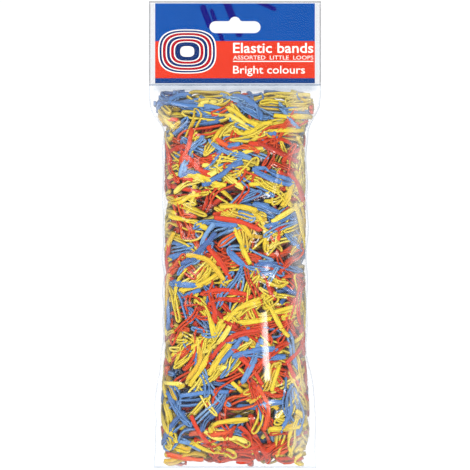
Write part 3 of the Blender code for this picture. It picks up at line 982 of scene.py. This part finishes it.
film = {
    "seed": 4,
    "rows": 330,
    "columns": 108,
    "flangeColumns": 4,
    "gap": 0.25 * mm,
    "sag": 1.6 * mm,  # how far the film may sink between the bands
    "lift": 1.6 * mm,  # how far the bands may lift it
    "over": 0.62 * mm,  # film over the middle of a strip that touches it
    "soften": 6,
    "underNeck": 0.3 * mm,  # the sheets start this far down the neck seal
    "closeTop": (2.6 * mm, 1.5 * mm),  # flat for this far at the top, then opening over this much more
    "closeFoot": (0.4 * mm, 0.6 * mm),
    "edgeWave": 0.55 * mm,
    "edgeWaves": (5, 12.0 * mm, 50.0 * mm),  # number, and shortest and longest pitch
    "waveFrom": (4.0 * mm, 10.0 * mm),  # under the neck, and over how much it grows
    "ripple": 0.10 * mm,
    "ripples": (9, 4.0 * mm, 13.0 * mm),
    "rippleStretch": 0.7,
    "rippleFrom": 6.0 * mm,  # full ripples where the pouch is at least this thick on each side
    "neckTuck": 0.9,  # the sheets' gap at their top row, as a share of the gap below it
    "folds": (  # soft folds: from, to, height, half width, and how flat the crest is (2 is a bell); mm
        ((16.0, -168.0), (20.5, -240.0), 1.5, 6.0, 6),
        ((-18.6, -232.0), (-19.4, -270.0), 1.4, 2.6, 4),
        ((-45.0, -60.0), (-37.0, -84.0), 1.5, 1.8, 2),
        ((46.0, -58.0), (39.0, -80.0), 1.5, 1.8, 2),
        ((-47.5, -262.0), (-38.0, -240.0), 1.5, 1.8, 2),
        ((47.0, -266.0), (38.0, -236.0), 1.5, 1.8, 2),
        ((30.0, -92.0), (24.0, -118.0), 1.5, 2.4, 4),
    ),
    "foldEnds": 0.22,  # the share of a fold's length over which each end fades
    "foldBlend": 1.2 * mm,  # a fold this high has no bands showing through its shape
}


def columnOf(x, z):
    # the film's column angle whose x, at this height, is the given one
    reach = halfWidthAt(z) - flangeAt(z)
    part = np.clip(x / reach, -1, 1)
    return np.arccos(np.sign(part) * np.abs(part) ** (pouch["sectionPower"] / 2))


def foldsAt(x, z):
    # each fold: a bell of the given flatness across its line, fading in and out along it
    total = np.zeros(np.broadcast(x, z).shape)
    for start, end, high, half, flat in film["folds"]:
        (x0, z0), (x1, z1) = start, end
        length = math.hypot(x1 - x0, z1 - z0)
        along = ((x / mm - x0) * (x1 - x0) + (z / mm - z0) * (z1 - z0)) / length**2
        away = ((x / mm - x0) * (z1 - z0) - (z / mm - z0) * (x1 - x0)) / length
        ends = eased(along / film["foldEnds"]) * eased((1 - along) / film["foldEnds"])
        total = np.maximum(total, high * mm * ends * np.exp(-(np.abs(away / half) ** flat)))
    return total


def heightsUnderFilm(settled, facing, z):
    # the farthest reach of the strips in each cell of the film's grid, spread by one cell all round
    denser = np.concatenate([settled, (settled + np.roll(settled, 1, axis=1)) / 2], axis=1).reshape(-1, 3)
    side = denser[denser[:, 1] * facing < 0]
    column = columnOf(side[:, 0], side[:, 2]) / math.pi * (film["columns"] - 1)
    row = np.interp(-side[:, 2], -z, np.arange(len(z)))
    need = np.zeros((len(z), film["columns"]))
    cells = (np.rint(row).astype(int), np.rint(column).astype(int))
    np.maximum.at(need, cells, np.abs(side[:, 1]) + film["over"])
    return highestNear(need, 1)


haze = {  # how milky the film is in each place, and over what length that fades
    "sides": (0.8, 7.0 * mm),
    "neck": (0.7, 5.0 * mm),
    "foot": (0.8, 5.0 * mm),
    "veil": (0.7, 9.0 * mm),
    "veilFrom": 29.0 * mm,  # the right side is milkier past this x
    "shoulder": 16.0 * mm,
    "shoulderHeight": -62.0 * mm,
}
fusedEdge = {  # how much of the fused edge's tint there is, for how far, and over what length that fades
    "side": 1.1 * mm,
    "foot": (0.9, 0.6 * mm, 0.8 * mm),
    # under the neck the fused edge's bluish grey is partly the seal's own tint and partly a painted
    # reflection of the blue card
    "neck": (0.95, 5.5 * mm, 4.0 * mm),
    "neckSides": 7.0 * mm,  # the neck's tint is weaker this near the sides
}


def bell(distance, width):
    # exp(-(d/w)^2)
    return np.exp(-((distance / width) ** 2))


def besideEdge(fromEdge, width):
    # 1 on the film's edge, falling evenly to 0 at the given width
    return 1 - np.clip(fromEdge / width, 0, 1)


def filmHaze(x, z, fromEdge):
    # the most of the haze near the side edges, at the shoulders, under the neck, at the foot and on the right
    sides = haze["sides"][0] * besideEdge(fromEdge, haze["sides"][1])
    shoulder = bell(z - haze["shoulderHeight"], haze["shoulder"]) * besideEdge(fromEdge, haze["shoulder"])
    neck = haze["neck"][0] * bell(z - neckLow.z, haze["neck"][1])
    foot = haze["foot"][0] * bell(z - sealLow.z, haze["foot"][1])
    veil = haze["veil"][0] * eased((x - haze["veilFrom"]) / haze["veil"][1])
    across = np.maximum(np.maximum(sides, shoulder), veil)
    return np.clip(np.maximum(across, np.maximum(neck, foot)), 0, 1)


def filmEdge(z, fromEdge):
    # the most of the fused edge's tint along the sides, at the foot and under the neck seal
    mostNeck, under, neckFade = fusedEdge["neck"]
    mostFoot, above, footFade = fusedEdge["foot"]
    neck = eased((z - neckLow.z + under) / neckFade) * (1 - besideEdge(fromEdge, fusedEdge["neckSides"]))
    foot = 1 - eased((z - sealLow.z - above) / footFade)
    side = besideEdge(fromEdge, fusedEdge["side"])
    return np.maximum(np.maximum(mostFoot * foot, side), mostNeck * neck)


def closedEnds(z, top, bottom):
    # 0 where the two sheets lie flat together at the top and the foot, 1 between
    flatTop, openTop = film["closeTop"]
    flatFoot, openFoot = film["closeFoot"]
    return np.clip((top - flatTop - z) / openTop, 0, 1) * np.clip((z - bottom - flatFoot) / openFoot, 0, 1)


def makeFilm(settled):
    # front and back sheets drawn over the bands, joined at the two flat side flanges
    source = np.random.default_rng(film["seed"])
    top, bottom = neckHigh.z - film["underNeck"], sealLow.z
    z = np.linspace(top, bottom, film["rows"])
    angle = np.linspace(0, math.pi, film["columns"])[None, :]
    tall = z[:, None]
    start, grown = film["waveFrom"]
    waveHeight = film["edgeWave"] * eased((neckLow.z - start - tall) / grown)
    rightHalf = halfWidthAt(tall) + waveHeight * wavyNoise(tall, 0.0, source, *film["edgeWaves"])
    leftHalf = halfWidthAt(tall) + waveHeight * wavyNoise(tall, 0.0, source, *film["edgeWaves"])
    reach = halfWidthAt(tall) - flangeAt(tall)
    base = np.maximum(halfDepthAt(tall), 0.0) * roundedPart(np.sin(angle))
    ends = closedEnds(tall, top, bottom)
    count = film["flangeColumns"]
    out = np.linspace(1, 0, count + 1)[:-1][None, :]
    right = reach + (rightHalf - reach) * out
    left = -(reach + (leftHalf - reach) * out)[:, ::-1]
    middle = reach * roundedPart(np.cos(angle))
    xs = np.concatenate([right, middle, left], axis=1)
    fromEdge = np.minimum(rightHalf - xs, xs + leftHalf)
    folds = foldsAt(middle, tall) * ends
    blend = np.clip(folds / film["foldBlend"], 0, 1)
    sheets = []
    for facing in (1, -1):
        need = heightsUnderFilm(settled, facing, z)
        body = np.clip(blurred(need, film["soften"]), base - film["sag"], base + film["lift"])
        across, along = reach * np.cos(angle), tall * film["rippleStretch"]
        ripple = film["ripple"] * wavyNoise(across, along, source, *film["ripples"])
        body = body + ripple * np.clip(base / film["rippleFrom"], 0, 1)
        body = np.maximum(body, np.minimum(need, base + film["lift"]))
        body = np.maximum((body + blurred(body, 1)) / 2, 0.0) * ends
        body = np.maximum(body, body * (1 - blend) + (base + folds) * blend)
        flat = np.full((len(z), count), -facing * film["gap"])
        ys = np.concatenate([flat, -facing * (body + film["gap"]), flat], axis=1)
        ys[:, 0] = ys[:, -1] = 0.0
        ys[-1] = 0.0
        ys[0] = ys[0] * film["neckTuck"]
        sheets.append(np.stack([xs, ys, np.broadcast_to(tall, xs.shape)], axis=-1))
    return sheets, filmHaze(xs, tall, fromEdge), filmEdge(tall, fromEdge)


def joinSheets(name, sheets, milky, edge):
    # the front sheet's quads and the back sheet's, turned over, in one piece; both are hazed alike
    rows, columns = sheets[0].shape[:2]
    points = np.concatenate([s.reshape(-1, 3) for s in sheets])
    faces = gridFaces(rows, columns, 0, True) + gridFaces(rows, columns, rows * columns, False)
    piece = makeMesh(name, points, faces)
    addValues(piece, "haze", np.tile(milky.ravel(), len(sheets)))
    addValues(piece, "edge", np.tile(edge.ravel(), len(sheets)))
    return piece


def filmMaterial(name, look):
    # clear film: seen through, with a mirror share by Fresnel, milky by its haze and greyer at its edges
    made = Nodes(name)
    where = made.place()
    fine = made.noise(where, look["bumpScale"], 3.0, 0.6)
    normal = made.bump(fine, look["bump"], look["bumpDepth"])
    fresnel = made.add("ShaderNodeFresnel", {"IOR": look["index"], "Normal": normal}).outputs[0]
    if look["hazed"]:
        milky = made.math("POWER", made.value("haze"), look["hazePower"])
        patches = made.math("MULTIPLY_ADD", made.noise(where, look["patchScale"]), *look["patches"])
        patchy = made.math("MULTIPLY", milky, patches)
        milkShare = made.math("MULTIPLY_ADD", patchy, look["milkMore"], look["milk"])
        clearColour = made.mix(made.value("edge"), look["clear"], look["edgeClear"])
    else:
        milkShare, clearColour = look["milk"], look["clear"]
        if look["outline"]:
            split = made.add("ShaderNodeSeparateXYZ", {0: where})
            away = made.math("ABSOLUTE", split.outputs[0])
            outer = made.math("GREATER_THAN", away, filmHigh.x - look["outline"])
            upper = made.math("GREATER_THAN", split.outputs[2], filmHigh.z - look["outline"])
            clearColour = made.mix(made.math("MAXIMUM", outer, upper), look["clear"], look["edgeClear"])
    clear = made.add("ShaderNodeBsdfTransparent", {"Color": clearColour})
    polish = {"Color": (1, 1, 1, 1), "Roughness": look["rough"], "Normal": normal}
    mirror = made.add("ShaderNodeBsdfGlossy", polish)
    milk = made.add("ShaderNodeBsdfDiffuse", {"Color": look["milkColour"], "Normal": normal})
    share = made.math("MINIMUM", made.math("MULTIPLY", fresnel, look["mirror"]), look["mostMirror"])
    through = made.add("ShaderNodeMixShader", {0: share, 1: clear.outputs[0], 2: mirror.outputs[0]})
    surface = made.add("ShaderNodeMixShader", {0: milkShare, 1: through.outputs[0], 2: milk.outputs[0]})
    return made.finish(surface.outputs[0])


filmLook = {
    "hazed": True,  # reads the pouch film's own haze and edge values
    "outline": 0.0,
    "milk": 0.003,
    "milkMore": 0.4,
    "milkColour": (0.80, 0.81, 0.84, 1),
    "clear": (0.985, 0.985, 0.99, 1),
    "edgeClear": (0.67, 0.71, 0.76, 1),
    "mirror": 0.32,
    "mostMirror": 0.06,
    "rough": 0.15,
    "index": 1.45,
    "bump": 0.12,
    "bumpScale": 160.0,
    "bumpDepth": 0.6 * mm,
    "hazePower": 1.5,
    "patchScale": 90.0,
    "patches": (1.4, -0.1),  # contrast and offset
}
headerLook = dict(filmLook, hazed=False, milk=0.0, mirror=0.12, rough=0.1, clear=(0.975, 0.975, 0.98, 1))
fusedLook = dict(
    filmLook,
    hazed=False,
    outline=0.7 * mm,
    milk=0.05,
    clear=(0.93, 0.935, 0.94, 1),
    edgeClear=(0.62, 0.62, 0.63, 1),
    mirror=0.4,
    rough=0.25,
    bump=0.6,
)
# the neck seal's bluish grey is partly the fused seal's own grey and partly a painted reflection of the blue
# card above it
neckLook = dict(fusedLook, clear=(0.68, 0.74, 0.80, 1))

filmPiece = joinSheets("pouch_film", *makeFilm(settled))
giveMaterial(filmPiece, filmMaterial("clear_film", filmLook))
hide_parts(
    "pouch_front_wall", "pouch_back_wall", "side_seal_left", "side_seal_right", "bottom_seal"
)
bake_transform(filmPiece)
print("film faces:", len(filmPiece.data.polygons))

# header

headerFilm = filmMaterial("header_film", headerLook)
fusedFilm = filmMaterial("fused_film", fusedLook)
for name in ("header_front_film", "header_back_film"):
    giveMaterial(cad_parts[name], headerFilm)
for name in ("header_top_seal", "header_side_seal_left", "header_side_seal_right"):
    giveMaterial(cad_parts[name], fusedFilm)
giveMaterial(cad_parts["neck_seal"], filmMaterial("neck_film", neckLook))


card = {
    "warmFrom": 23.6 * mm,  # below the card's top
    "warmTo": 46.8 * mm,
    "badge": (-29.9 * mm, -21.8 * mm),
    "badgeHalf": (18.2 * mm, 13.8 * mm),
    "badgePower": 2.9,
    "badgeEdge": 0.955,  # the share of the badge inside its navy outline
    "badgeRings": (  # from and to, as shares of the badge, and 1 for the warm ink
        (0.70, 0.88, 0),
        (0.74, 0.84, 1),
        (0.42, 0.60, 0),
        (0.46, 0.56, 1),
        (0.0, 0.24, 0),
    ),
    "rule": (-28.3 * mm, -27.7 * mm),
    "wordsLeft": -1.2 * mm,
    "wordsRight": 49.0 * mm,
    "strokes": (  # loose bars of navy ink: from, to and half width in mm
        ((-20.0, 5.4), (-15.6, -5.6), 2.0),
        ((-14.6, 3.6), (-6.2, -19.6), 1.3),
        ((-5.6, 9.6), (2.6, -10.6), 2.3),
        ((14.0, 9.4), (24.6, 4.8), 1.4),
    ),
    "groundInks": (srgb(6, 59, 125), srgb(10, 64, 132)),  # each band is mottled between two tones
    "warmInks": (srgb(174, 42, 24), srgb(182, 48, 28)),
    "strokeInk": srgb(8, 8, 92),
    "footInk": srgb(14, 48, 98),
    "ruleInk": srgb(206, 202, 196),
    "badgeInks": (srgb(206, 202, 196), srgb(140, 12, 26)),
    "badgeOutline": srgb(14, 38, 84),
    "panelInk": srgb(214, 214, 210),
    "panel": ((0.0, -19.0 * mm), (40.0 * mm, 9.0 * mm)),  # on the back: middle and half size
    "panelPower": 9.0,
    "inkFace": -0.24 * mm,
    "inkThickness": 0.02 * mm,
}


def printedBands(made, where, x, z, front):
    # the card's blue ground with its bars, its warm band, its foot strip and its rule
    top = cardHigh.z
    colour = made.mix(made.noise(where, 60.0, 2.0), *card["groundInks"])
    for start, end, half in card["strokes"]:
        away = made.segment(x, z, [v * mm for v in start], [v * mm for v in end])
        share = made.math("MULTIPLY", made.math("LESS_THAN", away, half * mm), front)
        colour = made.mix(share, colour, card["strokeInk"])
    warm = made.mix(made.noise(where, 80.0, 2.0), *card["warmInks"])
    colour = made.mix(made.math("LESS_THAN", z, top - card["warmFrom"]), colour, warm)
    colour = made.mix(made.math("LESS_THAN", z, top - card["warmTo"]), colour, card["footInk"])
    rule = made.math("MULTIPLY", made.within(z, *card["rule"]), front)
    rule = made.math("MULTIPLY", rule, made.within(x, card["wordsLeft"], card["wordsRight"]))
    return made.mix(rule, colour, card["ruleInk"])


def printedBadge(made, x, z):
    # concentric rounded loops in two inks on navy; also its measure, 1 on the outline
    inks = card["badgeInks"]
    measure = made.oval(x, z, card["badge"], card["badgeHalf"], card["badgePower"])
    badge = made.mix(made.math("LESS_THAN", measure, card["badgeEdge"]), inks[0], card["badgeOutline"])
    for low, high, ink in card["badgeRings"]:
        badge = made.mix(made.within(measure, low, high), badge, inks[ink])
    return badge, measure


def cardMaterial():
    # printed card under a varnish: the bands and the badge on its front, a pale panel on its back
    made = Nodes("printed_card")
    where = made.place()
    split = made.add("ShaderNodeSeparateXYZ", {0: where})
    x, y, z = split.outputs[0], split.outputs[1], split.outputs[2]
    front, back = made.math("LESS_THAN", y, 0.0), made.math("GREATER_THAN", y, 0.0)
    colour = printedBands(made, where, x, z, front)
    badge, measure = printedBadge(made, x, z)
    colour = made.mix(made.math("MULTIPLY", made.math("LESS_THAN", measure, 1.0), front), colour, badge)
    panel = made.math("LESS_THAN", made.oval(x, z, *card["panel"], card["panelPower"]), 1.0)
    colour = made.mix(made.math("MULTIPLY", panel, back), colour, card["panelInk"])
    shader = made.add(
        "ShaderNodeBsdfPrincipled",
        {
            "Base Color": colour,
            "Roughness": made.math("MULTIPLY_ADD", made.noise(where, 400.0), 0.12, 0.36),
            "Specular IOR Level": 0.05,
            "Normal": made.bump(made.noise(where, 1500.0), 0.06, 0.2 * mm),
        },
    )
    return made.finish(shader.outputs[0])


def inkMaterial():
    # pale screen ink with a slight unevenness
    made = Nodes("pale_ink")
    where = made.place()
    colour = made.mix(made.noise(where, 900.0), srgb(202, 194, 186), srgb(214, 208, 200))
    normal = made.bump(made.noise(where, 2500.0), 0.1, 0.1 * mm)
    shader = made.add("ShaderNodeBsdfPrincipled", {"Base Color": colour, "Roughness": 0.5, "Normal": normal})
    return made.finish(shader.outputs[0])


words = (  # piece, words, right end, foot and top in mm, and how much bolder than the plain face
    ("words_large", "Elastic bands", card["wordsRight"], -22.6, -16.4, 0.012),
    ("words_small", "ASSORTED  LITTLE  LOOPS", card["wordsRight"], -26.8, -24.4, 0.0),
    ("words_foot", "Bright colours", 43.8 * mm, -35.6, -30.8, 0.006),
)


def letterMesh(name, text, bolder):
    # the letters as slabs one unit thick each way, in the text's own plane
    curve = bpy.data.curves.new(name, "FONT")
    curve.body = text
    curve.extrude = 1.0
    curve.offset = bolder
    curve.resolution_u = 3
    written = bpy.data.objects.new(name, curve)
    bpy.context.scene.collection.objects.link(written)
    mesh = bpy.data.meshes.new_from_object(written.evaluated_get(bpy.context.evaluated_depsgraph_get()))
    bpy.data.objects.remove(written)
    return mesh


def makeWords(name, text, right, foot, top, bolder, ink):
    # plain lettering on the card's face: the letters' own box is stretched to the space it has there
    mesh = letterMesh(name, text, bolder)
    points = np.empty(len(mesh.vertices) * 3, np.float32)
    mesh.vertices.foreach_get("co", points)
    points = points.reshape(-1, 3)
    left = card["wordsLeft"]
    wide = points[:, 0].max() - points[:, 0].min()
    x = left + (points[:, 0] - points[:, 0].min()) * (right - left) / wide
    z = foot * mm + points[:, 1] * (top - foot) * mm / points[:, 1].max()
    y = card["inkFace"] - points[:, 2] * card["inkThickness"]
    mesh.vertices.foreach_set("co", np.stack([x, y, z], axis=1).astype(np.float32).ravel())
    piece = bpy.data.objects.new(name, mesh)
    bpy.context.scene.collection.objects.link(piece)
    giveMaterial(piece, ink)
    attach(piece, "header")


paleInk = inkMaterial()
for line in words:
    makeWords(*line, paleInk)
giveMaterial(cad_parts["header_card"], cardMaterial())
print("header printed")

# floor, light and camera

studio = {
    "floorDrop": 0.16,
    "floorSize": 9.0,
    "world": 1.04,
    "lensLength": 100.0,
    "sensor": 36.0,
    "viewHeight": 294.2 * mm,
    "aim": -136.66 * mm,
    "lights": (  # name, place, what it points at, size and power
        ("key_light", (-0.65, -1.0, 0.15), (0.0, 0.0, -136.66 * mm), (0.5, 0.5), 10.5),
        ("strip_light", (0.30, -1.0, -0.31), (0.0195, 0.0, -0.2), (0.13, 0.16), 6.0),
        ("low_light", (-0.32, -1.0, -0.55), (-0.019, 0.0, -0.255), (0.04, 0.10), 1.5),
    ),
}


def makeFloor():
    # one pale square well below the pouch
    half = studio["floorSize"] / 2
    height = cadLow.z - studio["floorDrop"]
    corners = np.array([[x * half, y * half, height] for x, y in ((-1, -1), (1, -1), (1, 1), (-1, 1))])
    floor = makeMesh("floor", corners, [(0, 1, 2, 3)])
    made = Nodes("pale_floor")
    shade = made.mix(made.noise(made.place(), 3.0), (0.975, 0.975, 0.975, 1), (0.985, 0.985, 0.985, 1))
    finish = {"Base Color": shade, "Roughness": 0.9, "Specular IOR Level": 0.0}
    giveMaterial(floor, made.finish(made.add("ShaderNodeBsdfPrincipled", finish).outputs[0]))


def makeLight(name, place, aim, size, power):
    # a rectangular light that faces the point it is aimed at
    light = bpy.data.lights.new(name, "AREA")
    light.shape = "RECTANGLE"
    light.size, light.size_y = size
    light.energy = power
    lamp = bpy.data.objects.new(name, light)
    bpy.context.scene.collection.objects.link(lamp)
    lamp.location = place
    lamp.rotation_euler = (Vector(aim) - Vector(place)).to_track_quat("-Z", "Y").to_euler()


def makeCamera():
    # as far off as makes the sensor's width cover the view's height
    camera = bpy.data.cameras.new("camera")
    camera.lens = studio["lensLength"]
    camera.sensor_width = studio["sensor"]
    camera.clip_start, camera.clip_end = 0.05, 50
    distance = studio["viewHeight"] * studio["lensLength"] / studio["sensor"]
    viewer = bpy.data.objects.new("camera", camera)
    viewer.location = (0, -distance, studio["aim"])
    viewer.rotation_euler = (math.pi / 2, 0, 0)
    bpy.context.scene.collection.objects.link(viewer)
    bpy.context.scene.camera = viewer


def makeStudio():
    # the floor, the lights, an even white world and the camera
    makeFloor()
    for light in studio["lights"]:
        makeLight(*light)
    world = bpy.data.worlds.new("studio")
    world.use_nodes = True
    background = world.node_tree.nodes["Background"]
    background.inputs["Color"].default_value = (1, 1, 1, 1)
    background.inputs["Strength"].default_value = studio["world"]
    bpy.context.scene.world = world
    bpy.context.scene.view_settings.view_transform = "Standard"
    makeCamera()


makeStudio()
print("studio made")
